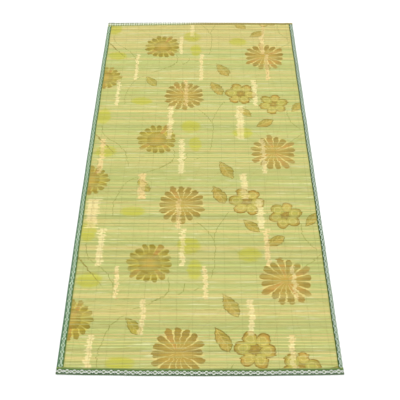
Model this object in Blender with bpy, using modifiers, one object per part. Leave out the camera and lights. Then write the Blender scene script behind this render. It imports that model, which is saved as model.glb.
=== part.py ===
"""A bamboo floor mat, lying flat and unrolled.

Thin slats lie side by side across the width and make one ribbed panel.
A woven tape is folded over each of the four edges: the side tapes run the whole
length, and the end tapes close over their ends at the corners.

Metres, +Z up. The origin is on the floor under the middle of the mat, the length
runs along Y, and the near end is at -Y.
"""
import math

import bpy
import numpy as np

# The whole mat
WIDTH = 0.900
LENGTH = 1.800
BOW_LEFT = 0.0046    # the middle of an edge stands out past its corners by this much
BOW_RIGHT = 0.0004
BOW_NEAR = 0.0044
BOW_FAR = 0.0060
RIPPLE = 0.0005      # and the edges waver inwards by up to this much
RIPPLES_SIDE = 4.5   # wavers in half a side
RIPPLES_END = 2.5

# The tapes, and how far each reaches in: at its near end and far end, or its left and right
TAPE_THICK = 0.0010
COVER_LEFT = (0.0218, 0.0180)
COVER_RIGHT = (0.0150, 0.0176)
COVER_NEAR = (0.0220, 0.0213)
COVER_FAR = (0.0270, 0.0115)
FOLD_REACH = 0.00165  # from the middle of a fold out to the middle of the cloth
FOLD_STEPS = 6
GAP = 0.0003         # between pieces that lie on each other
LAYER = TAPE_THICK + GAP

# The slats
SLAT_THICK = 0.0016
SLAT_PITCH = 0.00507
SLAT_SPREAD = 0.12   # share by which a slat's width may differ from the pitch
THIN_SHARE = 0.06    # share by which a slat may be thinner
GROOVE_DEPTH = 0.0006
GROOVE_HALF = 0.0008
END_MARGIN = 0.0030  # from a tape's outer edge in to the cut ends of what it holds
SLATS_A_FACET = 4    # on the flat underside
SEED = 7

# The slats rise from the floor onto the tapes' lower layers
FLAT_HALF = 0.150    # the middle strip that lies on the floor
RAMP_LONG = 0.040    # the rise at the near and far ends
CORNER_RAMP = 0.016  # the end tapes' rise onto the side tapes

SIDE_STATIONS = 23   # along the level run of a side tape
END_STATIONS = 13

BAMBOO = (0.585, 0.600, 0.215, 1.0)
BAMBOO_ROUGHNESS = 0.55
TAPE_GREEN = (0.115, 0.235, 0.155, 1.0)
TAPE_ROUGHNESS = 0.85


def waver(t, count):
    """How far an edge lies in from its bowed line: a squared sine, 0 at the middle of the edge."""
    return RIPPLE * np.sin(count * math.pi * t) ** 2


def side_edge(side, y):
    """The x of the left (-1) or right (1) outline: half the width, less the bow times the square
    of the share of the half length, less the waver."""
    t = y / (LENGTH / 2)
    bow = BOW_LEFT if side < 0 else BOW_RIGHT
    return side * (WIDTH / 2 - bow * t * t - waver(t, RIPPLES_SIDE))


def end_edge(end, x):
    """The y of the near (-1) or far (1) outline, in the same way."""
    t = x / (WIDTH / 2)
    bow = BOW_NEAR if end < 0 else BOW_FAR
    return end * (LENGTH / 2 - bow * t * t - waver(t, RIPPLES_END))


def corner(side, end):
    """Where the outlines of a side and an end meet."""
    return side_edge(side, end * LENGTH / 2), end_edge(end, side * WIDTH / 2)


# The straight cut edges of the slat panel, inside the tapes
LEFT = max(corner(-1, -1)[0], corner(-1, 1)[0]) + END_MARGIN
RIGHT = min(corner(1, -1)[0], corner(1, 1)[0]) - END_MARGIN
NEAR = max(corner(-1, -1)[1], corner(1, -1)[1]) + END_MARGIN
FAR = min(corner(-1, 1)[1], corner(1, 1)[1]) - END_MARGIN

# Where everything has risen onto the tapes' lower layers
RISEN_SIDE = min(-LEFT, RIGHT) + END_MARGIN - max(COVER_LEFT + COVER_RIGHT) - 2 * RIPPLE
RISEN_END = min(-NEAR, FAR) + END_MARGIN - max(COVER_NEAR + COVER_FAR) - 2 * RIPPLE


def side_lift(x):
    """How high the slats' underside lies at x: 0 over the middle strip, then a straight rise that
    reaches one layer where the side tapes begin, and goes on at that slope."""
    return LAYER * np.maximum(np.abs(x) - FLAT_HALF, 0) / (RISEN_SIDE - FLAT_HALF)


def end_lift(y):
    """How much higher slats and side tapes lie at y: a short straight rise onto the end tapes."""
    return np.interp(np.abs(y), [RISEN_END - RAMP_LONG, RISEN_END], [0, LAYER])


def material(name, colour, roughness):
    finish = bpy.data.materials.new(name)
    finish.use_nodes = True
    shader = finish.node_tree.nodes["Principled BSDF"]
    shader.inputs["Base Color"].default_value = colour
    shader.inputs["Roughness"].default_value = roughness
    shader.inputs["Metallic"].default_value = 0.0
    return finish


def add_object(name, points, faces, finish, collection):
    mesh = bpy.data.meshes.new(name)
    mesh.from_pydata(points, [], faces)
    mesh.materials.append(finish)
    piece = bpy.data.objects.new(name, mesh)
    collection.objects.link(piece)
    return piece


def slat_seams():
    """The y of every seam between slats: widths drawn evenly about the pitch, then scaled
    together to fill the panel from its near edge to its far edge."""
    count = round((FAR - NEAR) / SLAT_PITCH)
    widths = 1 + SLAT_SPREAD * np.random.default_rng(SEED).uniform(-1, 1, count)
    steps = np.concatenate([[0], np.cumsum(widths)])
    return NEAR + (FAR - NEAR) * steps / steps[-1]


def panel_section(seams):
    """The section of the panel across its slats, as y and thickness of the ribbed top: at each
    seam the bottom of a groove, and on each slat its two shoulders."""
    count = len(seams) - 1
    thin = THIN_SHARE * np.random.default_rng(SEED + 1).uniform(0, 1, count)
    thick = SLAT_THICK * (1 - thin)
    y = np.empty(3 * count + 1)
    z = np.empty(3 * count + 1)
    y[0::3] = seams
    z[0::3] = SLAT_THICK - GROOVE_DEPTH
    y[1::3] = seams[:-1] + GROOVE_HALF
    y[2::3] = seams[1:] - GROOVE_HALF
    z[1::3] = thick
    z[2::3] = thick
    return y, z


def underside_seams(seams):
    """The seams that also mark a point on the underside: all of them on the rises at the ends,
    and one in a few where it is flat."""
    ramps = np.abs(seams) > RISEN_END - 2 * RAMP_LONG
    marked = ramps | (np.arange(len(seams)) % SLATS_A_FACET == 0)
    return np.flatnonzero(marked)


def slat_panel(finish, collection):
    """A loft along X through four copies of the section, the outer two lifted onto the tapes.

    A ring holds the top points from near to far and then the underside's from far to near.
    Each end is closed with one face for each facet of the underside.
    """
    seams = slat_seams()
    top_y, top_z = panel_section(seams)
    marks = underside_seams(seams)
    low_y = seams[marks][::-1]
    ring_y = np.concatenate([top_y, low_y])
    ring_z = np.concatenate([top_z, np.zeros(len(low_y))]) + end_lift(ring_y)
    count = len(ring_y)
    stations = (LEFT, -FLAT_HALF, FLAT_HALF, RIGHT)
    points = []
    for x in stations:
        points += [(x, y, z + side_lift(x)) for y, z in zip(ring_y, ring_z)]
    last = (len(stations) - 1) * count
    faces = []
    for here in range(0, last, count):
        for k in range(count):
            after = (k + 1) % count
            faces.append((here + k, here + count + k, here + count + after, here + after))
    for k in range(len(marks) - 1):
        top = list(range(3 * marks[k], 3 * marks[k + 1] + 1))
        low = [count - 2 - k, count - 1 - k]
        faces.append([*top, *low])
        faces.append([last + p for p in [*top, *low]][::-1])
    return add_object("slat_panel", points, faces, finish, collection)


def folded_tape(name, stations, edge, cover, lift, top, along_x, finish, collection):
    """A strip of cloth folded over an edge: an open surface with Solidify.

    Across, its middle surface runs flat from the inner edge out to the fold, round the fold on a
    half ellipse, and back to the inner edge at the height of the upper layer. Along, it follows
    the outline. edge(s) is the outline, whose sign says which way is out, cover how far the cloth
    reaches in at its two ends, lift(s) the height of the lower layer and top(s) that of the upper
    one.
    """
    turn = np.linspace(-math.pi / 2, math.pi / 2, FOLD_STEPS + 1)
    points = []
    for s in stations:
        out = edge(s)
        sign = math.copysign(1, out)
        fold = abs(out) - TAPE_THICK / 2 - FOLD_REACH
        reach = np.interp(s, [stations[0], stations[-1]], cover)
        inner = abs(out) - reach - waver(s / LENGTH, 2 * RIPPLES_SIDE)
        low = lift(s) + TAPE_THICK / 2
        high = top(s) - TAPE_THICK / 2
        across = [inner, *(fold + FOLD_REACH * np.cos(turn)), inner]
        middle = (low + high) / 2
        up = [low, *(middle + (high - low) / 2 * np.sin(turn)), high]
        for a, z in zip(across, up):
            points.append((s, sign * a, z) if along_x else (sign * a, s, z))
    wide = FOLD_STEPS + 3
    faces = []
    for k in range(len(stations) - 1):
        for j in range(wide - 1):
            first = k * wide + j
            faces.append((first, first + 1, first + wide + 1, first + wide))
    piece = add_object(name, points, faces, finish, collection)
    shell = piece.modifiers.new("thickness", "SOLIDIFY")
    shell.thickness = TAPE_THICK
    shell.offset = 0
    shell.use_even_offset = True
    return piece


# The upper layer of a side tape lies on the slats' ends, which the corner lift raises with it
SIDE_TOP = side_lift(max(-LEFT, RIGHT)) + SLAT_THICK + LAYER


def side_tape(name, side, cover, finish, collection):
    """A tape over the ends of the slats, as long as the panel."""
    rise = RISEN_END - RAMP_LONG
    middle = np.linspace(-rise, rise, SIDE_STATIONS)
    stations = [NEAR, -RISEN_END, *middle, RISEN_END, FAR]
    return folded_tape(
        name, stations, lambda y: side_edge(side, y), cover,
        end_lift, lambda y: SIDE_TOP + end_lift(y), False, finish, collection,
    )


def end_top(x):
    """The upper side of an end tape: one layer over the slats, and near the corners a short rise
    onto the side tapes."""
    on_slats = 2 * LAYER + SLAT_THICK + side_lift(x)
    on_tape = SIDE_TOP + 2 * LAYER
    begins = RISEN_SIDE - CORNER_RAMP
    risen = np.interp(abs(x), [begins, RISEN_SIDE], [0, 1])
    return on_slats * (1 - risen) + on_tape * risen


def end_tape(name, end, cover, finish, collection):
    """A tape over the first or last slats, from corner to corner and over the side tapes."""
    begins = RISEN_SIDE - CORNER_RAMP
    middle = np.linspace(-begins, begins, END_STATIONS)
    left, right = corner(-1, end)[0], corner(1, end)[0]
    stations = [left, -RISEN_SIDE, *middle, RISEN_SIDE, right]
    return folded_tape(
        name, stations, lambda x: end_edge(end, x), cover,
        lambda x: 0.0, end_top, True, finish, collection,
    )


def main():
    for old in list(bpy.data.objects):
        bpy.data.objects.remove(old)
    mat = bpy.data.collections.new("bamboo_mat")
    bpy.context.scene.collection.children.link(mat)
    bamboo = material("bamboo_slats", BAMBOO, BAMBOO_ROUGHNESS)
    woven = material("binding_tape", TAPE_GREEN, TAPE_ROUGHNESS)
    slat_panel(bamboo, mat)
    side_tape("binding_left", -1, COVER_LEFT, woven, mat)
    side_tape("binding_right", 1, COVER_RIGHT, woven, mat)
    end_tape("binding_near", -1, COVER_NEAR, woven, mat)
    end_tape("binding_far", 1, COVER_FAR, woven, mat)


main()
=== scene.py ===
"""A bamboo floor mat with a printed top, lying flat and unrolled on a pale floor.

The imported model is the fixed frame. Each slat is made anew with its rounded edges, its nodes and
its print. The four folded tapes are made anew as woven cloth, and the warp threads and the tapes'
stitching are added. Metres, +Z up, the mat's length along Y and its near end at -Y.
"""
import math

import bpy
import numpy as np
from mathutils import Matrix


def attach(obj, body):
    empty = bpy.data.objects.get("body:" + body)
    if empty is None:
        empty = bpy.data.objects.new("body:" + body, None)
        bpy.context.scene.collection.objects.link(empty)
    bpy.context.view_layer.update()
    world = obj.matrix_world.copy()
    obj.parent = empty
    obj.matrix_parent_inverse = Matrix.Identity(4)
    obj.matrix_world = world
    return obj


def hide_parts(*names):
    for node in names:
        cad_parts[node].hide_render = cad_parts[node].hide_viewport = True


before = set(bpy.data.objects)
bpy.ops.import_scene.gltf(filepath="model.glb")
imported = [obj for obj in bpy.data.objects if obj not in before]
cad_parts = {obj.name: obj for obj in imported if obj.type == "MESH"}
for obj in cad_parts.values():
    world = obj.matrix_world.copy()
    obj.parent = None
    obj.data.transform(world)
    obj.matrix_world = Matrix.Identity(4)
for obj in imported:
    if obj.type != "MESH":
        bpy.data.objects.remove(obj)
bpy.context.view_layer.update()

# The mat's outline, as in the model
WIDTH = 0.900
LENGTH = 1.800
BOW_LEFT = 0.0046
BOW_RIGHT = 0.0004
BOW_NEAR = 0.0044
BOW_FAR = 0.0060
RIPPLE = 0.0005
RIPPLES_SIDE = 4.5
RIPPLES_END = 2.5

# The tapes and the slats, as in the model
TAPE_THICK = 0.0010
COVER_LEFT = (0.0218, 0.0180)
COVER_RIGHT = (0.0150, 0.0176)
COVER_NEAR = (0.0220, 0.0213)
COVER_FAR = (0.0270, 0.0115)
FOLD_REACH = 0.00165
GAP = 0.0003
LAYER = TAPE_THICK + GAP
SLAT_THICK = 0.0016
SLAT_PITCH = 0.00507
SLAT_SPREAD = 0.12
THIN_SHARE = 0.06
END_MARGIN = 0.0030
SEED = 7
FLAT_HALF = 0.150
RAMP_LONG = 0.040
CORNER_RAMP = 0.016

# The finer make of the slats
SETS = 12             # the slats are kept in this many pieces, each holding every twelfth one
STATIONS = 68         # rings along a slat
THREAD_ROOM = 0.00022  # from the model's underside up to the slats, for the threads beneath
NODE_PULL = 0.88      # how strongly the rings gather at a node
NODE_GATHER = 0.012
RIDGE_HIGH = 0.00013
RIDGE_HALF = 0.0012

# The warp threads
THREADS = 16
FIRST_THREAD = -0.4042
THREAD_PITCH = 0.05463
THREAD_RADIUS = 0.00020
UNDER_RADIUS = 0.00010

# The print: one repeat runs this far along the mat, and its places are given in mm from the near
# left corner
REPEAT = 0.6007
PRINT_LEFT = -0.4449
PRINT_NEAR = -0.8951
PRINT_SCALE = 0.0009935

# The tapes' weave and stitching
CHAIN_PITCH = 0.0228   # from one large lozenge to the next
WEAVE_CELL = 0.0009    # the steps of the pattern, and the pitch of the warp
WEFT_PITCH = 0.00075
STITCH_PITCH = 0.0040
STITCH_LONG = 0.0031
STITCH_INSET = 0.0024  # from a tape's inner edge

# Each tape's colours as they show, from 0 to 255: its inner edge, its inner, middle and outer
# band, and its figure
LEFT_COLOURS = ((138, 150, 92), (92, 122, 72), (58, 96, 58), (76, 112, 80), (222, 242, 214))
RIGHT_COLOURS = ((116, 130, 74), (58, 84, 34), (56, 90, 54), (96, 126, 98), (230, 244, 226))
NEAR_COLOURS = ((160, 172, 104), (104, 130, 78), (52, 78, 50), (76, 98, 66), (252, 255, 244))
FAR_COLOURS = ((196, 194, 126), (150, 164, 108), (100, 124, 84), (122, 132, 112), (246, 248, 224))
FADED_COLOURS = ((176, 164, 102), (164, 152, 92), (152, 142, 88), (152, 150, 118), (184, 176, 128))

# The view and the light
CAMERA_PLACE = (0.0035, -1.6816, 1.8650)
CAMERA_TILT = 38.425
CAMERA_TURN = 0.064
CAMERA_LENS = 56.54
SURROUND = 0.85
SUN_STRENGTH = 1.9
SUN_WIDE = 25
SUN_TILT = (44, -5)
FLOOR_HALF = 12.0
LIGHT_LEVEL = 1.13    # what a white surface shows under the lights, so that colours can allow for it
HAZE = 0.024          # what a black one shows, by its gloss


def waver(t, count):
    """How far an edge lies in from its bowed line: a squared sine, 0 at the middle of the edge."""
    return RIPPLE * np.sin(count * math.pi * t) ** 2


def side_edge(side, y):
    """The x of the left (-1) or right (1) outline: half the width, less the bow times the square
    of the share of the half length, less the waver."""
    t = y / (LENGTH / 2)
    bow = BOW_LEFT if side < 0 else BOW_RIGHT
    return side * (WIDTH / 2 - bow * t * t - waver(t, RIPPLES_SIDE))


def end_edge(end, x):
    """The y of the near (-1) or far (1) outline, in the same way."""
    t = x / (WIDTH / 2)
    bow = BOW_NEAR if end < 0 else BOW_FAR
    return end * (LENGTH / 2 - bow * t * t - waver(t, RIPPLES_END))


def corner(side, end):
    """Where the outlines of a side and an end meet."""
    return side_edge(side, end * LENGTH / 2), end_edge(end, side * WIDTH / 2)


LEFT = max(corner(-1, -1)[0], corner(-1, 1)[0]) + END_MARGIN
RIGHT = min(corner(1, -1)[0], corner(1, 1)[0]) - END_MARGIN
NEAR = max(corner(-1, -1)[1], corner(1, -1)[1]) + END_MARGIN
FAR = min(corner(-1, 1)[1], corner(1, 1)[1]) - END_MARGIN
RISEN_SIDE = min(-LEFT, RIGHT) + END_MARGIN - max(COVER_LEFT + COVER_RIGHT) - 2 * RIPPLE
RISEN_END = min(-NEAR, FAR) + END_MARGIN - max(COVER_NEAR + COVER_FAR) - 2 * RIPPLE


def side_lift(x):
    """How high the slats' underside lies at x: 0 over the middle strip, then a straight rise that
    reaches one layer where the side tapes begin, and goes on at that slope."""
    return LAYER * np.maximum(np.abs(x) - FLAT_HALF, 0) / (RISEN_SIDE - FLAT_HALF)


def end_lift(y):
    """How much higher slats and side tapes lie at y: a short straight rise onto the end tapes."""
    return np.interp(np.abs(y), [RISEN_END - RAMP_LONG, RISEN_END], [0, LAYER])


SIDE_TOP = side_lift(max(-LEFT, RIGHT)) + SLAT_THICK + LAYER


def end_top(x):
    """The upper side of an end tape: one layer over the slats, and near the corners a short rise
    onto the side tapes."""
    on_slats = 2 * LAYER + SLAT_THICK + side_lift(x)
    on_tape = SIDE_TOP + 2 * LAYER
    risen = np.interp(np.abs(x), [RISEN_SIDE - CORNER_RAMP, RISEN_SIDE], [0, 1])
    return on_slats * (1 - risen) + on_tape * risen


def end_bow(x, y):
    """How far a slat's middle bows towards its end of the mat: the outline's own bow, fading with
    the fourth power of the distance from the mat's middle."""
    bow = np.where(y < 0, -BOW_NEAR, BOW_FAR)
    return bow * (1 - (x / (WIDTH / 2)) ** 2) * (np.abs(y) / (LENGTH / 2)) ** 4


# Meshes


def swept(name, grid, finish, angle=60):
    """A mesh of closed rings: grid[piece, station, k] is point k of one ring of one piece.

    Next rings are joined with four-sided faces, and the first and last ring of each piece are
    each closed with one face. Seen along the path, a ring rises on the right, runs over the top
    to the left and comes back underneath, so that the faces point outwards.
    """
    pieces, stations, around = grid.shape[:3]
    index = np.arange(pieces * stations * around).reshape(pieces, stations, around)
    after = np.roll(index, -1, axis=2)
    sides = np.stack([index[:, :-1], index[:, 1:], after[:, 1:], after[:, :-1]], -1)
    caps = np.stack([index[:, 0], index[:, -1, ::-1]], 1)
    corners = np.concatenate([sides.ravel(), caps.ravel()])
    sizes = np.concatenate([np.full(sides.size // 4, 4), np.full(2 * pieces, around)])
    mesh = bpy.data.meshes.new(name)
    mesh.vertices.add(grid.size // 3)
    mesh.vertices.foreach_set("co", grid.astype(np.float32).ravel())
    mesh.loops.add(len(corners))
    mesh.loops.foreach_set("vertex_index", corners.astype(np.int32))
    mesh.polygons.add(len(sizes))
    mesh.polygons.foreach_set("loop_start", (np.cumsum(sizes) - sizes).astype(np.int32))
    mesh.update(calc_edges=True)
    mesh.shade_smooth()
    mesh.set_sharp_from_angle(angle=math.radians(angle))
    mesh.materials.append(finish)
    piece = bpy.data.objects.new(name, mesh)
    bpy.context.scene.collection.objects.link(piece)
    return piece


def lay_out(piece, name, along, across, shape, cap=0.0):
    """Lays the faces of a swept mesh out on a flat map.

    along[piece, cell, 0 or 1] is the first coordinate of a cell's two ends, and
    across[piece, cell, k] the second coordinate of its points, with one more for the way back to
    the first. A cap is a narrow lens beyond its end, as wide as cap.
    """
    pieces, stations, around = shape
    cells = (pieces, stations - 1, around)
    first = np.broadcast_to(along[:, :, None, 0], cells)
    last = np.broadcast_to(along[:, :, None, 1], cells)
    across = np.broadcast_to(across, (pieces, stations - 1, around + 1))
    low, high = across[..., :-1], across[..., 1:]
    sides = np.stack([first, low, last, low, last, high, first, high], -1)
    lens = cap * np.sin(np.pi * np.arange(around) / (around - 1))
    start = np.stack([along[:, :1, 0] - lens, across[:, 0, :-1]], -1)
    end = np.stack([along[:, -1:, 1] + lens, across[:, -1, :-1]], -1)[:, ::-1]
    places = np.concatenate([sides.ravel(), np.stack([start, end], 1).ravel()])
    layer = piece.data.uv_layers.new(name=name)
    layer.uv.foreach_set("vector", places.astype(np.float32))


def give(piece, name, shape, *values):
    """Stores three numbers for each point of a mesh, for its material to read."""
    attribute = piece.data.attributes.new(name, "FLOAT_VECTOR", "POINT")
    table = np.stack([np.broadcast_to(v, shape) for v in values], -1)
    attribute.data.foreach_set("vector", table.astype(np.float32).ravel())


def strips(count, rows, height):
    """The low edge of each of count strips laid above each other on a flat map of so many rows,
    each strip as high as height rows."""
    return (np.arange(count) % rows + (1 - height) / 2) / rows


# Materials


class Wire:
    """A number in a material. An expression on wires adds its Math nodes."""

    def __init__(self, paint, socket):
        self.paint = paint
        self.socket = socket

    def __add__(self, other):
        return self.paint.maths("ADD", self, other)

    def __sub__(self, other):
        return self.paint.maths("SUBTRACT", self, other)

    def __rsub__(self, other):
        return self.paint.maths("SUBTRACT", other, self)

    def __mul__(self, other):
        return self.paint.maths("MULTIPLY", self, other)

    def __truediv__(self, other):
        return self.paint.maths("DIVIDE", self, other)

    def __pow__(self, other):
        return self.paint.maths("POWER", self, other)

    def __abs__(self):
        return self.paint.maths("ABSOLUTE", self)

    def __lt__(self, other):
        return self.paint.maths("LESS_THAN", self, other)

    def __gt__(self, other):
        return self.paint.maths("GREATER_THAN", self, other)

    __radd__ = __add__
    __rmul__ = __mul__


class Paint:
    """A material and the ways to add its nodes."""

    def __init__(self, name):
        self.material = bpy.data.materials.new(name)
        self.material.use_nodes = True
        self.tree = self.material.node_tree
        self.shader = self.tree.nodes["Principled BSDF"]

    def node(self, kind, settings, values, output=0):
        """Adds a node: its settings first, then the values or links of its sockets."""
        made = self.tree.nodes.new("ShaderNode" + kind)
        for name, value in settings.items():
            setattr(made, name, value)
        for socket, value in values.items():
            self.put(made.inputs[socket], value)
        return Wire(self, made.outputs[output])

    def put(self, socket, value):
        """Links a wire to a socket, or sets the socket to a plain value."""
        if isinstance(value, Wire):
            self.tree.links.new(value.socket, socket)
        else:
            socket.default_value = value

    def maths(self, operation, *values):
        """A Math node."""
        return self.node("Math", {"operation": operation}, dict(enumerate(values)))

    def vector(self, operation, *values, output=0):
        """A Vector Math node; output 1 is its number, such as a length."""
        return self.node("VectorMath", {"operation": operation}, dict(enumerate(values)), output)

    def scale(self, vector, share):
        """A vector or a colour times a number."""
        return self.node("VectorMath", {"operation": "SCALE"}, {0: vector, 3: share})

    def smooth(self, value, low, high):
        """0 at low, 1 at high, and an even curve between them."""
        limits = {0: value, 1: low, 2: high}
        return self.node("MapRange", {"interpolation_type": "SMOOTHSTEP"}, limits)

    def mix(self, share, first, second):
        """From the first colour to the second."""
        return self.node("Mix", {"data_type": "RGBA"}, {0: share, 6: first, 7: second}, 2)

    def choose(self, share, first, second):
        """From the first vector to the second."""
        return self.node("Mix", {"data_type": "VECTOR"}, {0: share, 4: first, 5: second}, 1)

    def parts(self, vector):
        """The three numbers of a vector."""
        x = self.node("SeparateXYZ", {}, {0: vector})
        node = x.socket.node
        return x, Wire(self, node.outputs[1]), Wire(self, node.outputs[2])

    def noise(self, vector, scale, detail=2.0, rough=0.5):
        """An uneven pattern, from 0 to 1 about one half."""
        values = {"Vector": vector, "Scale": scale, "Detail": detail, "Roughness": rough}
        return self.node("TexNoise", {}, values)

    def chance(self, value):
        """A random number from 0 to 1, the same for the same value."""
        return self.node("TexWhiteNoise", {"noise_dimensions": "1D"}, {"W": value})

    def stored(self, name):
        """The three numbers that give() stored, as a vector."""
        return self.node("Attribute", {"attribute_name": name}, {}, 1)

    def place(self):
        """The place on the mat."""
        return self.node("TexCoord", {}, {}, 3)

    def finish(self, colour, roughness, height, distance):
        """Sets the shader's colour, roughness and relief, and hands over the material."""
        self.put(self.shader.inputs["Base Color"], colour)
        self.put(self.shader.inputs["Roughness"], roughness)
        bump = self.node("Bump", {}, {"Height": height, "Distance": distance})
        self.put(self.shader.inputs["Normal"], bump)
        return self.material


def shown(red, green, blue):
    """The colour of a surface that is to show as these three values from 0 to 255."""
    share = np.array([red, green, blue]) / 255
    linear = np.where(share <= 0.04045, share / 12.92, ((share + 0.055) / 1.055) ** 2.4)
    return (*(np.maximum(linear - HAZE, 0.004) / LIGHT_LEVEL), 1.0)


# The print


def on_mat(x, y):
    """A place on the print, in mm from its near left corner, in metres on the mat."""
    return PRINT_LEFT + x * PRINT_SCALE, PRINT_NEAR + y * PRINT_SCALE


# Centre and radius in mm
DAISIES = ((380, 72, 92), (272, 412, 84), (747, 340, 95), (23, 190, 74))
PETALS = 16
BLOSSOMS = ((628, 84, 68), (768, 18, 62))
LOBES = 6
# Centre and half length in mm, and the way the tip points in degrees
LEAVES = (
    (523, 118, 51, -61),
    (553, 244, 52, -60),
    (231, 165, 41, -52),
    (640, 575, 42, -45),
    (722, 505, 43, 28),
    (866, 603, 40, 52),
)
# Centre and half sizes in mm
PATCHES = (
    (196, 36, 40, 20),
    (66, 342, 38, 26),
    (410, 486, 36, 30),
    (430, 385, 22, 36),
    (628, 448, 36, 26),
    (40, 548, 26, 40),
)
# The first, middle and last point of each stem, in mm
STEMS = (
    ((37, 493), (50, 443), (93, 400)),
    ((93, 400), (147, 333), (163, 262)),
    ((340, 353), (343, 306), (290, 257)),
    ((353, 272), (400, 287), (450, 312)),
    ((373, 283), (395, 308), (398, 333)),
    ((125, 15), (122, 62), (138, 125)),
    ((138, 125), (160, 172), (200, 205)),
    ((225, 228), (300, 262), (345, 300)),
    ((556, 640), (528, 590), (500, 520)),
    ((500, 520), (504, 440), (488, 352)),
    ((440, 592), (472, 556), (497, 512)),
    ((825, 581), (835, 510), (868, 470)),
    ((818, 398), (848, 418), (882, 450)),
)
STEM_HALF = 0.0010


def seen_from(paint, place, centre, size, turned=0.0):
    """The way from a motif's centre to a place, in the repeat where it is shortest, turned so that
    the motif lies along x and measured in sizes."""
    way = paint.vector("SUBTRACT", place, (*on_mat(*centre), 0))
    way = paint.vector("WRAP", way, (9, REPEAT / 2, 1), (-9, -REPEAT / 2, -1))
    if turned:
        turn = {"rotation_type": "Z_AXIS"}
        way = paint.node("VectorRotate", turn, {"Vector": way, "Angle": -math.radians(turned)})
    share = 1 / (size * PRINT_SCALE)
    return paint.vector("MULTIPLY", way, (share, share, 0))


def nearest(paint, place, motifs):
    """The place as seen from the nearest of some motifs, with the motif's number as its z."""
    best = least = None
    for number, (x, y, size, *turned) in enumerate(motifs, 1):
        way = seen_from(paint, place, (x, y), size, *turned)
        far = paint.vector("LENGTH", way, output=1)
        way = paint.vector("ADD", way, (0, 0, number))
        if best is None:
            best, least = way, far
        else:
            best = paint.choose(far < least, best, way)
            least = paint.maths("MINIMUM", far, least)
    return (*paint.parts(best), least)


def petal_ring(paint, turn, reach, number, longest, soft):
    """One ring of spoon-shaped petals. turn counts petals round the flower, and reach is the
    distance from its centre. A petal's half width grows with its length to a rounded tip.

    Gives how far inside a petal the place is, the share of the petal's length, and a random
    number for the petal.
    """
    petal = paint.maths("FLOOR", turn)
    beside = abs(turn - petal - 0.5) * (math.tau / PETALS) * reach
    luck = paint.chance(paint.maths("FLOORED_MODULO", petal, PETALS) + number * 20)
    share = reach / (longest * (0.90 + 0.18 * luck))
    half = 0.158 * share ** 0.95 * paint.maths("SQRT", paint.maths("MAXIMUM", 1 - share ** 11, 0))
    return paint.smooth(half - beside, -soft, soft), share, luck


def daisy(paint, place, under):
    """The daisies: a ring of long petals over a pale disc that shows between them, a ring of short
    strokes over it and a small heart. Every other daisy is yellower, with stronger strokes."""
    x, y, number, reach = nearest(paint, place, DAISIES)
    turn = paint.maths("ARCTAN2", y, x) * (PETALS / math.tau) + number * 0.37
    soft = 0.013
    long, share, luck = petal_ring(paint, turn, reach, number, 1.0, soft)
    short, small, chance = petal_ring(paint, turn + 0.5, reach, number + 7, 0.52, soft)
    yellow = 1 - paint.maths("MODULO", number, 2)
    body = paint.mix(yellow, shown(192, 158, 76), shown(196, 176, 76))
    tip = paint.mix(yellow, shown(154, 126, 56), shown(148, 130, 48))
    rosy = paint.mix(paint.smooth(luck, 0.62, 0.86), body, shown(212, 154, 84))
    petal = paint.mix(paint.smooth(share, 0.35, 0.92) * (1.15 - 0.5 * luck), rosy, tip)
    petal = paint.mix(paint.smooth(chance, 0.2, 1.0) * 0.35, petal, shown(170, 148, 70))
    inner = paint.mix(paint.smooth(small, 0.2, 0.9), shown(196, 164, 78), shown(152, 130, 54))
    ground = paint.mix(yellow, shown(240, 220, 138), shown(216, 200, 96))
    colour = paint.mix(paint.smooth(reach, 0.96, 0.80) * 0.80, under, ground)
    colour = paint.mix(long * 0.92, colour, petal)
    colour = paint.mix(short * (0.16 + yellow * 0.54), colour, inner)
    return paint.mix(paint.smooth(reach, 0.17, 0.10) * 0.7, colour, shown(196, 162, 76))


def blossom(paint, place, under):
    """The blossoms: six round lobes, each an ellipse about a point on its own axis, with a thin
    brown outline, an orange rim that fades to green, a pale loop inside and a brown heart."""
    x, y, number, reach = nearest(paint, place, BLOSSOMS)
    turn = paint.maths("ARCTAN2", y, x) * (LOBES / math.tau) + (1.016 - 0.383 * number)
    lobe = paint.maths("FLOOR", turn)
    luck = paint.chance(paint.maths("FLOORED_MODULO", lobe, LOBES) + number * 9)
    angle = (turn - lobe - 0.5) * (math.tau / LOBES)
    outward = (paint.maths("COSINE", angle) * reach - 0.60) / 0.40
    beside = paint.maths("SINE", angle) * reach / 0.34
    ring = paint.maths("SQRT", outward * outward + beside * beside) * (0.93 + 0.14 * luck)
    inside = paint.smooth(ring, 1.04, 0.97)
    green = paint.mix(luck, shown(188, 180, 88), shown(204, 182, 92))
    rim = paint.mix(luck, shown(176, 156, 70), shown(206, 156, 76))
    fill = paint.mix(paint.smooth(outward * 0.6 + ring * 0.5, 0.15, 0.9), green, rim)
    loop = paint.smooth(abs(ring - 0.50), 0.11, 0.04)
    fill = paint.mix(loop * 0.6, fill, shown(230, 212, 126))
    line = paint.smooth(abs(ring - 0.96), 0.13, 0.06)
    colour = paint.mix(inside * 0.95, under, fill)
    colour = paint.mix(line * 0.90, colour, shown(150, 122, 54))
    disc = paint.smooth(abs(reach - 0.14), 0.10, 0.04)
    heart = paint.mix(paint.smooth(reach, 0.24, 0.18), colour, shown(192, 160, 76))
    return paint.mix(disc * 0.60, heart, shown(146, 118, 52))


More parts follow.
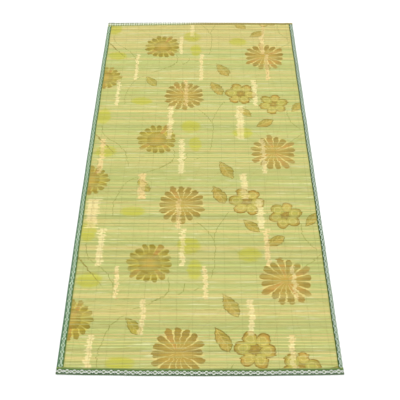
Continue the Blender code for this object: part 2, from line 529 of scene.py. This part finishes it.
def leaf(paint, place, under):
    """The leaves: pointed ovals, their half width a parabola along the leaf, with a darker
    outline, pale veins slanting from a pale middle one, and uneven tan colour."""
    x, y, number, _ = nearest(paint, place, LEAVES)
    half = 0.47 * paint.maths("MAXIMUM", 1 - x * x, -0.2) * (1 + 0.22 * x)
    inside = half - abs(y)
    body = paint.mix(paint.chance(number + 0.5), shown(180, 166, 70), shown(192, 160, 76))
    upper = paint.smooth(y, -0.04, 0.04)
    body = paint.mix(upper * 0.6, body, shown(156, 142, 56))
    slant = paint.maths("SINE", (x - abs(y) * 1.1) * 15)
    vein = paint.maths("MAXIMUM", paint.smooth(slant, 0.70, 0.95), paint.smooth(abs(y), 0.06, 0.02))
    body = paint.mix(vein * 0.5, body, shown(222, 202, 118))
    body = paint.mix(paint.smooth(inside, 0.10, 0.03) * 0.90, body, shown(128, 112, 44))
    return paint.mix(paint.smooth(inside, -0.02, 0.02) * 0.92, under, body)


def arc_through(first, middle, last):
    """The centre, the radius, the direction of the middle point and the cosine of half the angle
    of the circle arc through three points in mm: the centre is equally far from all three."""
    a, b, c = (np.array(p, float) for p in (first, middle, last))
    rows = np.array([b - a, c - a])
    centre = np.linalg.solve(rows, (rows * (rows / 2 + a)).sum(1))
    radius = np.hypot(*(a - centre))
    toward = (a + c) / 2 - centre
    toward *= np.sign((b - centre) @ toward) / np.hypot(*toward)
    return centre, radius, toward, (a - centre) @ toward / radius


def stems(paint, place, under):
    """Thin stems: each a circle arc, drawn where the distance from its circle is small and the
    direction from its centre is near that of its middle point."""
    drawn = None
    for points in STEMS:
        centre, radius, toward, least = arc_through(*points)
        way = seen_from(paint, place, centre, radius)
        off = abs(paint.vector("LENGTH", way, output=1) - 1)
        half = STEM_HALF / (radius * PRINT_SCALE)
        line = paint.smooth(off, 1.6 * half, 0.5 * half)
        ahead = paint.vector("DOT_PRODUCT", way, (*toward, 0), output=1)
        line = line * (ahead > float(least))
        drawn = line if drawn is None else paint.maths("MAXIMUM", drawn, line)
    return paint.mix(drawn * 0.85, under, shown(134, 138, 60))


def patches(paint, place, ragged, under):
    """Washes of yellow green: ovals with soft, ragged edges, by the sum of the squares of the two
    shares of the half sizes."""
    drawn = None
    for x, y, wide, high in PATCHES:
        way = seen_from(paint, place, (x, y), 1)
        across, up, _ = paint.parts(paint.vector("MULTIPLY", way, (1 / wide, 1 / high, 0)))
        edge = across * across + up * up
        wash = paint.smooth(edge + ragged, 1.9, 0.7)
        drawn = wash if drawn is None else paint.maths("MAXIMUM", drawn, wash)
    return paint.mix(drawn * 0.80, under, shown(198, 196, 72))


def slat_finish():
    """Bamboo with a worn printed top: each slat has its own green or tan tone, fibres and darker
    streaks along it, pale planed nodes, painted shade along its long edges at the seams, and its own
    small shift of the print."""
    paint = Paint("bamboo_slats")
    place = paint.place()
    tone, tan, seed = paint.parts(paint.stored("slat"))
    node, across, top = paint.parts(paint.stored("part"))
    shift, warm, strong = paint.parts(paint.stored("ink"))
    along = paint.vector("MULTIPLY", place, (1, 0, 0))
    own = paint.node("CombineXYZ", {}, {0: 0.0, 1: seed, 2: across * 0.02})
    grain_place = paint.vector("ADD", along, own)

    def fibres(scale, across_scale, detail=2.0):
        """Noise drawn out along a slat, different for each slat."""
        stretched = paint.vector("MULTIPLY", grain_place, (scale, 37.0, across_scale))
        return paint.noise(stretched, 1.0, detail)

    streak = fibres(4.0, 6.0)
    dash = fibres(15.0, 12.0, 3.0)
    fine = fibres(34.0, 260.0, 3.0)
    cloud = paint.noise(paint.vector("MULTIPLY", place, (5.0, 2.2, 1)), 1.0, 2.0)
    greener = tan + (streak - 0.5) * 0.9 + (dash - 0.5) * 0.5 + (cloud - 0.5) * 0.25
    greener = paint.smooth(greener, 0.10, 0.90)
    colour = paint.mix(greener, shown(190, 198, 124), shown(224, 207, 137))
    colour = paint.mix(paint.smooth(dash, 0.56, 0.72) * 0.45, colour, shown(166, 162, 88))
    colour = paint.mix(paint.smooth(streak + dash, 0.92, 0.66) * 0.60, colour, shown(240, 236, 182))

    blotch = paint.noise(paint.vector("MULTIPLY", place, (170.0, 90.0, 1)), 1.0, 2.0)
    planed = paint.smooth(node + (blotch - 0.5) * 0.9, 1.15, 0.70)
    wood = paint.mix(warm, shown(250, 238, 176), shown(247, 216, 150))
    spots = paint.smooth(blotch, 0.54, 0.68) * paint.smooth(warm, 0.35, 0.9)
    wood = paint.mix(spots * 0.75, wood, shown(196, 140, 76))
    colour = paint.mix(planed * 0.80, colour, wood)

    shifted = paint.vector("ADD", place, paint.node("CombineXYZ", {}, {0: shift, 1: 0.0, 2: 0.0}))
    flat = paint.vector("MULTIPLY", shifted, (1, 1, 0))
    drift = paint.node("TexNoise", {}, {"Vector": flat, "Scale": 26.0, "Detail": 1.0}, 1)
    drift = paint.vector("SUBTRACT", drift, (0.5, 0.5, 0.5))
    flat = paint.vector("ADD", flat, paint.vector("MULTIPLY", drift, (0.010, 0.010, 0)))
    ragged = (paint.noise(flat, 70.0, 2.0) - 0.5) * 0.9
    inked = patches(paint, flat, ragged, colour)
    inked = stems(paint, flat, inked)
    inked = leaf(paint, flat, inked)
    inked = blossom(paint, flat, inked)
    inked = daisy(paint, flat, inked)
    worn = paint.smooth(fine + strong, 0.25, 0.70) * (1 - planed * 0.55)
    colour = paint.mix(worn * 0.94 + 0.04, colour, inked)
    scar = paint.smooth(abs(node - 0.06), 0.10, 0.03)
    colour = paint.mix(scar * 0.25, colour, shown(176, 140, 74))

    # Painted shade: each slat darkens along its long edges so the seams between slats show as dark
    # lines, more on some slats than others
    edge = paint.smooth(abs(across), 0.70, 0.98)
    colour = paint.mix(edge * (0.15 + 0.75 * paint.chance(seed)), colour, shown(146, 138, 66))
    bare = paint.mix(streak, shown(222, 200, 140), shown(205, 184, 120))
    colour = paint.mix(top, bare, colour)
    bright = 1.015 + tone * 0.085 + (fine - 0.5) * 0.22 + (dash - 0.5) * 0.18
    colour = paint.scale(colour, bright)
    roughness = 0.44 + (fine - 0.5) * 0.16 + planed * 0.08
    paint.shader.inputs["Specular IOR Level"].default_value = 0.2
    return paint.finish(colour, roughness, fine + blotch * planed * 0.4, 0.00012)


def thread_finish():
    """Fine two-ply thread, tinted by the print: a slanted twist along the thread."""
    paint = Paint("warp_thread")
    x, y, _ = paint.parts(paint.place())
    twist = paint.maths("SINE", (y * 9000.0) + (x * 9000.0)) * 0.5 + 0.5
    colour = paint.mix(twist, shown(104, 104, 48), shown(142, 140, 70))
    return paint.finish(colour, 0.8, twist, 0.00003)


def stitch_finish():
    """Thick dark sewing thread with a slanted twist."""
    paint = Paint("stitching")
    x, y, z = paint.parts(paint.place())
    twist = paint.maths("SINE", (y + x + z) * 7000.0) * 0.5 + 0.5
    colour = paint.mix(twist, shown(52, 62, 44), shown(92, 102, 74))
    return paint.finish(colour, 0.75, twist, 0.00005)


def tape_finish(name, colours, chain, ticks, later=None):
    """Woven jacquard tape, on its own map in metres: the first coordinate along the tape and the
    second from the inner edge of the upper layer outwards.

    Two lines cross over and over: their distance from the chain's middle is a cosine along the
    tape plus a constant. They enclose large lozenges with a dark heart and small ones between.
    All edges are stepped to the threads. The five colours are those of the inner edge, the inner,
    middle and outer band and the figure; later holds the ones that they fade to along the tape.
    chain is the chain's middle. Each row of ticks has its middle, its half width, its pitch and
    its strength.
    """
    paint = Paint(name)
    u, v, _ = paint.parts(paint.node("UVMap", {"uv_map": "weave"}, {}))

    def stepped(value):
        """The middle of the cell that a value lies in."""
        return (paint.maths("FLOOR", value / WEAVE_CELL) + 0.5) * WEAVE_CELL

    colours = [shown(*colour) for colour in colours]
    if later:
        gone = paint.smooth(u, -0.16, 0.06)
        colours = [paint.mix(gone, now, shown(*then)) for now, then in zip(colours, later)]
    rim, inner, middle, outer, pale = colours
    su, sv = stepped(u), stepped(v)
    wave = paint.maths("COSINE", su * (math.tau / CHAIN_PITCH))
    off = abs(sv - chain)
    line = abs(0.0013 + wave * 0.0040)
    figure = paint.smooth(abs(off - line), 0.0015, 0.0009)
    inside = paint.smooth(line - off, 0.0, 0.0008) * paint.smooth(wave, -0.2, 0.1)
    heart = paint.smooth(off * off * 2.2e5 + (1 - wave) * 1.8, 1.2, 0.8)
    ground = paint.mix(paint.smooth(sv, chain - 0.0054, chain - 0.0046), inner, middle)
    ground = paint.mix(paint.smooth(sv, chain + 0.0050, chain + 0.0058), ground, outer)
    fleck = paint.chance(su * 3331.0 + sv * 7177.0)
    spread = paint.node("CombineXYZ", {}, {0: u * 190.0, 1: v * 230.0, 2: 0.0})
    uneven = paint.noise(spread, 1.0, 1.0)
    seen = 0.70 + paint.smooth(uneven, 0.35, 0.62) * 0.28
    colour = paint.mix(inside * 0.30, ground, pale)
    colour = paint.mix(figure * seen, colour, pale)
    colour = paint.mix(heart * inside * 0.85, colour, inner)
    edge = paint.smooth(sv, 0.0026, 0.0016)
    colour = paint.mix(edge * 0.85, colour, rim)
    for row, half, pitch, strength in ticks:
        beside = paint.smooth(abs(sv - row), half + 0.0003, half - 0.0003)
        tick = paint.smooth(paint.maths("COSINE", su * (math.tau / pitch)), 0.0, 0.4) * beside
        colour = paint.mix(tick * strength, colour, pale)
    colour = paint.scale(colour, 0.70 + 0.26 * fleck + 0.34 * uneven)
    warp = paint.maths("SINE", u * (math.tau / WEAVE_CELL)) * 0.5
    weft = paint.maths("SINE", v * (math.tau / WEFT_PITCH)) * 0.5
    relief = warp * weft + weft * 0.6 + figure * 0.8
    paint.shader.inputs["Specular IOR Level"].default_value = 0.2
    return paint.finish(colour, 0.86, relief, 0.00012)


# The slats

# From and to in mm along the mat, then for each node its x in mm, its half width in mm and how
# warm it shows
NODE_BANDS = (
    (0, 138, ((95, 10, 0.3), (748, 10, 0.4))),
    (138, 267, ((257, 9, 0.4), (620, 10, 0.3))),
    (267, 403, ((160, 7, 0.5), (467, 8, 0.4), (775, 7, 0.3))),
    (403, 563, ((92, 12, 0.2), (388, 9, 0.2), (693, 9, 0.7))),
    (563, 698, ((46, 24, 0.4), (368, 9, 0.8), (674, 13, 0.2))),
    (698, 830, ((225, 14, 0.9), (621, 13, 0.3))),
    (830, 1015, ((52, 10, 0.8), (375, 11, 0.1), (706, 9, 0.3))),
    (1015, 1218, ((322, 11, 0.3), (618, 15, 0.2))),
    (1218, 1382, ((88, 8, 0.1), (388, 9, 0.9), (690, 10, 0.1))),
    (1382, 1562, ((160, 7, 0.3), (456, 8, 0.4), (756, 8, 0.8))),
    (1562, 1697, ((361, 8, 0.3), (742, 10, 0.7))),
    (1697, 1900, ((410, 9, 0.3), (752, 6, 0.8))),
)
NO_NODE = 9.0


def slat_seams():
    """The y of every seam between slats: widths drawn evenly about the pitch, then scaled
    together to fill the panel from its near edge to its far edge."""
    count = round((FAR - NEAR) / SLAT_PITCH)
    widths = 1 + SLAT_SPREAD * np.random.default_rng(SEED).uniform(-1, 1, count)
    steps = np.concatenate([[0], np.cumsum(widths)])
    return NEAR + (FAR - NEAR) * steps / steps[-1]


def slat_nodes(centre, draws):
    """Each slat's nodes: three columns of x, half width and warmth. Slats of one culm lie side by
    side, so their nodes stand in a band that zigzags from slat to slat and drifts a little."""
    count = len(centre)
    table = np.full((count, 3, 3), NO_NODE)
    for low, high, nodes in NODE_BANDS:
        rows = (centre >= on_mat(0, low)[1]) & (centre < on_mat(0, high)[1])
        for k, (x, half, warm) in enumerate(nodes):
            table[rows, k] = on_mat(x, 0)[0], half * 0.001, warm
    real = table[:, :, 0] < NO_NODE
    jitter = draws.normal(0, 0.0024, (count, 1)) + draws.normal(0, 0.0010, (count, 3))
    drift = np.cumsum(draws.normal(0, 0.0010, count))
    drift -= np.interp(np.arange(count), np.arange(0, count, 12), drift[::12])
    table[:, :, 0] += np.where(real, jitter + drift[:, None], 0)
    table[:, :, 1] *= draws.uniform(0.75, 1.25, (count, 3))
    table[:, :, 2] += draws.normal(0, 0.16, (count, 3))
    return table


def slat_stations(table, left, right):
    """The x of each slat's rings: even steps, drawn towards each node by a share of the distance
    that fades as a bell curve, then stretched to the slat's cut ends."""
    even = np.linspace(LEFT, RIGHT, STATIONS)[None, :]
    off = even[:, :, None] - table[:, None, :, 0]
    drawn = even - NODE_PULL * (off * np.exp(-((off / NODE_GATHER) ** 2))).sum(-1)
    share = (drawn - drawn[:, :1]) / (drawn[:, -1:] - drawn[:, :1])
    return left[:, None] + share * (right - left)[:, None]


# A slat's ring, from the foot of its near side over the top to the foot of its far side: the
# share of its half width, the share of its thickness, and metres to add
RING = np.array([
    (-0.91, 0, 0), (-1, 0, 0.00018), (-1, 1, -0.00034), (-0.94, 1, -0.00010), (-0.72, 1, -0.00002),
    (0, 1, 0.00003),
    (0.72, 1, -0.00002), (0.94, 1, -0.00010), (1, 1, -0.00034), (1, 0, 0.00018), (0.91, 0, 0),
])
# The share of a slat's strip on the flat map that each face of the ring takes
RING_SHARE = np.array([2, 5, 4, 6, 16, 16, 6, 4, 5, 2, 10], float)


class Slats:
    """All the slats' measures, one row a slat."""

    def __init__(self):
        draws = np.random.default_rng(SEED + 2)
        seams = slat_seams()
        self.count = len(seams) - 1
        self.centre = (seams[:-1] + seams[1:]) / 2
        self.half = np.diff(seams) / 2 - draws.uniform(0.00008, 0.00030, self.count)
        thin = THIN_SHARE * np.random.default_rng(SEED + 1).uniform(0, 1, self.count)
        self.thick = SLAT_THICK * (1 - thin) - THREAD_ROOM - 0.00005
        self.table = slat_nodes(self.centre, draws)
        left = LEFT + draws.uniform(0, 0.0010, self.count)
        right = RIGHT - draws.uniform(0, 0.0010, self.count)
        self.x = slat_stations(self.table, left, right)
        off = np.abs(self.x[:, :, None] - self.table[:, None, :, 0])
        close = off.argmin(-1)
        pick = np.arange(self.count)[:, None]
        self.far = off.min(-1)
        self.node = np.minimum(self.far / self.table[pick, close, 1], 4)
        self.warm = self.table[pick, close, 2]
        self.roll = draws.normal(0, 0.00004, self.count)
        self.phase = draws.uniform(0, math.tau, (2, self.count))
        self.tone = draws.normal(0, 1, self.count).clip(-2.2, 2.2)
        self.tan = self.tans(draws)
        self.seed = draws.uniform(0, 40, self.count)
        self.shift = draws.normal(0, 0.0016, self.count)
        self.strong = draws.uniform(-0.02, 0.25, self.count)

    def tans(self, draws):
        """How tan each slat is, from 0 to 1: slats of one culm share a tone, some stand out, and a
        painted sheen makes the slats towards the far end lighter and more tan.
        """
        groups = draws.uniform(0.22, 0.46, 60)
        smooth = np.interp(np.arange(self.count), np.arange(60) * 6.1, groups)
        odd = draws.uniform(0, 1, self.count) > 0.88
        # Painted sheen: the slats towards the far end grow lighter and more tan
        far_sheen = np.interp(self.centre, [0.62, 0.86], [0, 0.30])
        return smooth + draws.normal(0, 0.17, self.count) + 0.40 * odd + far_sheen

    def under(self, x, y):
        """How high the slats' underside lies."""
        return side_lift(x) + end_lift(y) + THREAD_ROOM

    def points(self):
        """Every ring of every slat: the ring's shares times the slat's half width and thickness,
        carried along the slat, with the ridges of the nodes, the roll and slight waves."""
        x = self.x[:, :, None]
        wave_y = 0.00007 * np.sin(x * 18 + self.phase[0][:, None, None])
        wave_z = 0.00004 * np.sin(x * 25 + self.phase[1][:, None, None])
        y = self.centre[:, None, None] + end_bow(x, self.centre[:, None, None]) + wave_y
        y = y + RING[:, 0] * self.half[:, None, None]
        ridge = RIDGE_HIGH * np.exp(-((self.far / RIDGE_HALF) ** 2))
        hollow = 0.00004 * np.exp(-((self.node / 0.9) ** 4))
        swell = (ridge - hollow)[:, :, None] + self.roll[:, None, None] * RING[:, 0]
        z = RING[:, 1] * (self.thick[:, None, None] + swell) + RING[:, 2]
        z = z + self.under(x, self.centre[:, None, None]) + np.abs(wave_z) * (RING[:, 1] > 0)
        return np.stack(np.broadcast_arrays(x, y, z), -1)

    def top(self, x):
        """The height of each slat's top at x, one row a slat."""
        return self.under(x, self.centre) + self.thick + 0.00003


def add_slats(slats, finish):
    """The slats in sets, with what their material reads and a flat map of one strip a slat."""
    points = slats.points()
    shape = points.shape[:3]
    share = np.concatenate([[0], np.cumsum(RING_SHARE)]) / RING_SHARE.sum()
    s = (slats.x - LEFT) / (RIGHT - LEFT) * 0.98 + 0.01
    along = np.stack([s[:, :-1], s[:, 1:]], -1)
    for k in range(SETS):
        own = slice(k, None, SETS)
        each = np.s_[own, None, None]
        rings = np.s_[own, :, None]
        piece = swept(f"slats_set_{k + 1}", points[own], finish)
        rows = len(range(k, slats.count, SETS))
        low = strips(rows, rows, 0.94)
        across = low[:, None, None] + share * 0.94 / rows
        own_shape = (rows, *shape[1:])
        lay_out(piece, "OFBake", along[own], across, own_shape, 0.006)
        give(piece, "slat", own_shape, slats.tone[each], slats.tan[each], slats.seed[each])
        give(piece, "part", own_shape, slats.node[rings], RING[:, 0], RING[:, 1] > 0)
        give(piece, "ink", own_shape, slats.shift[each], slats.warm[rings], slats.strong[each])
        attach(piece, "root")
        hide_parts("slat_panel")


# The threads


def tube(path, radius, flat=1.0, sides=4):
    """Rings round paths along y: path[piece, station] with a square or round section, flattened by
    flat in height. Seen along the path a ring rises on the right and comes back underneath."""
    turn = (np.arange(sides) + 0.5) * math.tau / sides - math.pi / 2
    ring = np.stack([np.cos(turn) * radius, 0 * turn, np.sin(turn) * radius * flat], -1)
    return path[:, :, None, :] + ring


def add_threads(slats, finish):
    """Over-threads that cross each slat's crown and dip into each seam, and under-threads that
    run beneath the slats and rise a little at each seam."""
    draws = np.random.default_rng(SEED + 5)
    rows = []
    under = []
    for k in range(THREADS):
        x = FIRST_THREAD + k * THREAD_PITCH + 0.0006 * np.sin(np.arange(slats.count) / 17 + k)
        sway = draws.normal(0, 0.00012, slats.count)
        y = slats.centre + end_bow(x, slats.centre)
        top = slats.top(x)
        seam = y - slats.half - 0.0002
        seam_z = top - slats.thick * 0.45
        climb_z = top + 0.6 * THREAD_RADIUS - 0.00006
        over = np.stack([
            np.stack([x + sway, seam, seam_z], -1),
            np.stack([x + sway, y - 0.80 * slats.half, climb_z], -1),
            np.stack([x + sway, y, top + 0.8 * THREAD_RADIUS], -1),
            np.stack([x + sway, y + 0.80 * slats.half, climb_z], -1),
        ], 1)
        rows.append(over.reshape(-1, 3))
        low = slats.under(x, slats.centre) - UNDER_RADIUS
        beneath = np.stack([
            np.stack([x, seam, low + 0.00035], -1),
            np.stack([x, y, low], -1),
        ], 1)
        under.append(beneath.reshape(-1, 3))
    for name, paths, radius in (
        ("warp_threads_over", np.array(rows), THREAD_RADIUS),
        ("warp_threads_under", np.array(under), UNDER_RADIUS),
    ):
        piece = swept(name, tube(paths, radius), finish, 80)
        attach(piece, "root")


# The tapes

FLAT_STEPS = 9      # along each layer, across the tape
FOLD_STEPS = 12     # round the fold


class Tape:
    """A strip of cloth folded over an edge of the mat, at stations s along it."""

    def __init__(self, name, stations, edge, cover, lift, top, along_x, seed):
        draws = np.random.default_rng(SEED + seed)
        self.name = name
        self.s = stations
        self.along_x = along_x
        out = edge(stations)
        self.sign = np.sign(out[0])
        self.fold = np.abs(out) - TAPE_THICK / 2 - FOLD_REACH
        reach = np.interp(stations, stations[[0, -1]], cover)
        ragged = 0.00018 * np.sin(stations * 410 + seed) * np.sin(stations * 97)
        self.inner = np.abs(out) - reach - waver(stations / LENGTH, 2 * RIPPLES_SIDE) + ragged
        self.low = lift(stations) + TAPE_THICK / 2
        puffs = draws.uniform(-1, 1, len(stations) // 3 + 2)
        puff = np.interp(np.arange(len(stations)), np.arange(len(puffs)) * 3, puffs)
        self.high = top(stations) - TAPE_THICK / 2
        self.puff = 0.00010 * puff

    def world(self, across, up):
        """Points from the distance out from the mat's middle line and the height."""
        s = np.broadcast_to(self.s[:, None], across.shape)
        out = self.sign * across
        return np.stack([s, out, up] if self.along_x else [out, s, up], -1)

    def section(self, offset):
        """The cloth's surface at an offset from its middle: flat below, round the fold on a half
        ellipse, and flat above, with a slight pucker above. Columns go from the lower inner edge
        round to the upper one. The offset is outwards, away from what the tape holds."""
        t = np.linspace(0, 1, FLAT_STEPS + 1)[:-1]
        turn = np.linspace(-math.pi / 2, math.pi / 2, FOLD_STEPS + 1)
        inner, fold = self.inner[:, None], self.fold[:, None]
        low, high = self.low[:, None], self.high[:, None]
        middle, half = (low + high) / 2, (high - low) / 2
        up_half = half + offset
        out_half = FOLD_REACH + offset
        below = inner + (fold - inner) * t
        above = fold + (inner - fold) * (1 - t[::-1])
        across = np.concatenate([below, fold + out_half * np.cos(turn), above], 1)
        pucker = self.puff[:, None] * np.sin(math.pi * np.linspace(0, 1, FLAT_STEPS)) ** 0.5
        flat_low = np.repeat(middle - up_half, FLAT_STEPS, 1)
        up = np.concatenate([flat_low, middle + up_half * np.sin(turn), middle + up_half + pucker], 1)
        return across, up

    def shell(self):
        """The closed cloth: its outer surface, then its inner one back again."""
        outer = self.section(TAPE_THICK / 2 - 0.00005)
        within = self.section(-TAPE_THICK / 2 + 0.00005)
        across = np.concatenate([outer[0], within[0][:, ::-1]], 1)
        up = np.concatenate([outer[1], within[1][:, ::-1]], 1)
        return across, up

    def upper(self, s, inset):
        """The place on the upper layer at s, so far from its inner edge: out and height."""
        return np.interp(s, self.s, self.inner) + inset, np.interp(s, self.s, self.high)

    def flat_size(self):
        """The cut strip: twice the reach of a layer and the way round the fold, by its length."""
        across, up = self.section(0.0)
        round_it = np.hypot(np.diff(across, axis=1), np.diff(up, axis=1)).sum(1)
        points = self.world(across, up)[:, 0]
        length = np.linalg.norm(np.diff(points, axis=0), axis=1).sum()
        return float(round_it.max()), float(length), float(round_it.mean())


def add_tape(tape, node, finish, rows):
    """A tape with its weave map in metres and a flat map cut into rows."""
    across, up = tape.shell()
    half = across.shape[1] // 2
    steps = np.hypot(np.diff(across[:, :half], axis=1), np.diff(up[:, :half], axis=1))
    gone = np.concatenate([np.zeros((len(across), 1)), np.cumsum(steps, axis=1)], 1)
    v = np.minimum(gone, gone[:, -1:] - gone)
    v = np.concatenate([v, v[:, ::-1]], 1)
    weight = np.concatenate([np.full(half - 1, 1.0), [0.3], np.full(half - 1, 0.25)])
    if (tape.sign < 0) != tape.along_x:  # the fold is on the left, seen along the path
        across, up, v, weight = across[:, ::-1], up[:, ::-1], v[:, ::-1], weight[::-1]
    v = np.concatenate([v, v[:, :1]], 1)
    grid = tape.world(across, up)[None]
    shape = grid.shape[:3]
    piece = swept(tape.name, grid, finish, 50)
    s = tape.s
    along = np.stack([s[:-1], s[1:]], -1)[None]
    lay_out(piece, "weave", along, v[:-1][None], shape)
    share = (s - s[0]) / (s[-1] - s[0]) * rows
    row = np.minimum(np.floor((share[:-1] + share[1:]) / 2), rows - 1)
    along = np.stack([share[:-1] - row, share[1:] - row], -1)[None] * 0.96 + 0.02
    weight = np.concatenate([weight, [0.3]])
    spread = np.concatenate([[0], np.cumsum(weight)]) / weight.sum() * 0.92 + 0.04
    lay_out(piece, "OFBake", along, ((row[:, None] + spread) / rows)[None], shape, 0.004)
    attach(piece, "root")
    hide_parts(node)
    wide, long, mean = tape.flat_size()


def stitches(tape):
    """One row of short stitches on a tape's upper layer and one beneath its lower layer: each a
    small flattened tube that sinks into the cloth at both ends."""
    s = np.arange(tape.s[0] + 0.006, tape.s[-1] - 0.006, STITCH_PITCH)
    t = np.array([-0.5, -0.32, 0.32, 0.5])
    rise = np.array([-0.30, 0.75, 0.75, -0.30])
    at = s[:, None] + t * STITCH_LONG
    out, high = tape.upper(at, STITCH_INSET)
    low = np.interp(at, tape.s, tape.low)
    rows = []
    above = high + TAPE_THICK / 2 + rise * 0.00016
    beneath = low - TAPE_THICK / 2 + 0.00016 - rise * 0.00006
    for height in (above, beneath):
        across = tape.sign * out
        parts = [at, across, height] if tape.along_x else [across, at, height]
        rows.append(np.stack(parts, -1))
    path = np.concatenate(rows)
    turn = (np.arange(6) + 0.5) * math.tau / 6 - math.pi / 2
    slim = np.array([0.55, 1.0, 1.0, 0.55])
    high_r = np.where(np.arange(len(path)) < len(s), 0.00026, 0.00010)
    wide = slim[:, None] * 0.00033 * np.cos(turn)
    tall = high_r[:, None, None] * slim[:, None] * np.sin(turn)
    wide = np.broadcast_to(wide, tall.shape)
    nothing = np.zeros_like(tall)
    if tape.along_x:
        ring = np.stack([nothing, -wide, tall], -1)
    else:
        ring = np.stack([wide, nothing, tall], -1)
    return path[:, :, None, :] + ring


def add_bindings():
    """The four tapes and all their stitching."""
    sides = np.linspace(NEAR, FAR, 181)
    fine = CHAIN_PITCH / 4
    ticks = (0.0140, 0.0046, CHAIN_PITCH / 2, 0.75), (0.0028, 0.0022, CHAIN_PITCH / 2, 0.5)
    left_finish = tape_finish("left_tape", LEFT_COLOURS, 0.0102, ((0.0176, 0.0009, fine, 0.5),))
    right_finish = tape_finish("right_tape", RIGHT_COLOURS, 0.0094, ((0.0166, 0.0009, fine, 0.5),))
    near_finish = tape_finish("near_tape", NEAR_COLOURS, 0.0122, ((0.0194, 0.0009, fine, 0.3),))
    far_finish = tape_finish("far_tape", FAR_COLOURS, 0.0140, ticks, FADED_COLOURS)

    def side(name, which, cover, seed):
        return Tape(
            name, sides, lambda y: side_edge(which, y), cover,
            end_lift, lambda y: SIDE_TOP + end_lift(y), False, seed,
        )

    def end(name, which, cover, seed):
        stations = np.linspace(corner(-1, which)[0], corner(1, which)[0], 121)
        return Tape(
            name, stations, lambda x: end_edge(which, x), cover,
            lambda x: 0.0 * x, end_top, True, seed,
        )

    left = side("tape_left", -1, COVER_LEFT, 11)
    right = side("tape_right", 1, COVER_RIGHT, 12)
    near = end("tape_near", -1, COVER_NEAR, 13)
    far = end("tape_far", 1, COVER_FAR, 14)
    add_tape(left, "binding_left", left_finish, 6)
    add_tape(right, "binding_right", right_finish, 6)
    add_tape(near, "binding_near", near_finish, 4)
    add_tape(far, "binding_far", far_finish, 4)
    rows = np.concatenate([stitches(t) for t in (left, right, near, far)])
    piece = swept("stitching", rows, stitch_finish(), 80)
    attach(piece, "root")


# The stage


def add_camera():
    """The camera above the near end, looking down along the mat."""
    data = bpy.data.cameras.new("camera")
    data.sensor_width = 36
    data.lens = CAMERA_LENS
    camera = bpy.data.objects.new("camera", data)
    camera.location = CAMERA_PLACE
    camera.rotation_euler = (math.radians(CAMERA_TILT), 0, math.radians(CAMERA_TURN))
    bpy.context.scene.collection.objects.link(camera)
    bpy.context.scene.camera = camera


def add_floor():
    """A wide pale floor just under the mat."""
    paint = Paint("pale_floor")
    cloud = paint.noise(paint.place(), 3.0, 2.0)
    colour = paint.scale((0.90, 0.90, 0.90), 1 + (cloud - 0.5) * 0.01)
    finish = paint.finish(colour, 0.9, cloud, 0.0001)
    corners = [(x * FLOOR_HALF, y * FLOOR_HALF, 0) for x, y in ((-1, -1), (1, -1), (1, 1), (-1, 1))]
    mesh = bpy.data.meshes.new("floor")
    mesh.from_pydata(corners, [], [(0, 1, 2, 3)])
    mesh.materials.append(finish)
    floor = bpy.data.objects.new("floor", mesh)
    bpy.context.scene.collection.objects.link(floor)


def add_lights():
    """An even white surround and one broad soft light from above the near end."""
    world = bpy.data.worlds.new("surround")
    world.use_nodes = True
    world.node_tree.nodes["Background"].inputs["Color"].default_value = (1, 1, 1, 1)
    world.node_tree.nodes["Background"].inputs["Strength"].default_value = SURROUND
    bpy.context.scene.world = world
    data = bpy.data.lights.new("window", "SUN")
    data.energy = SUN_STRENGTH
    data.angle = math.radians(SUN_WIDE)
    light = bpy.data.objects.new("window", data)
    light.rotation_euler = (math.radians(SUN_TILT[0]), math.radians(SUN_TILT[1]), 0)
    bpy.context.scene.collection.objects.link(light)


def main():
    """The stage, then the mat's pieces from the slats up."""
    bpy.context.scene.view_settings.view_transform = "Standard"
    add_camera()
    add_lights()
    add_floor()
    slats = Slats()
    add_slats(slats, slat_finish())
    add_threads(slats, thread_finish())
    add_bindings()


main()
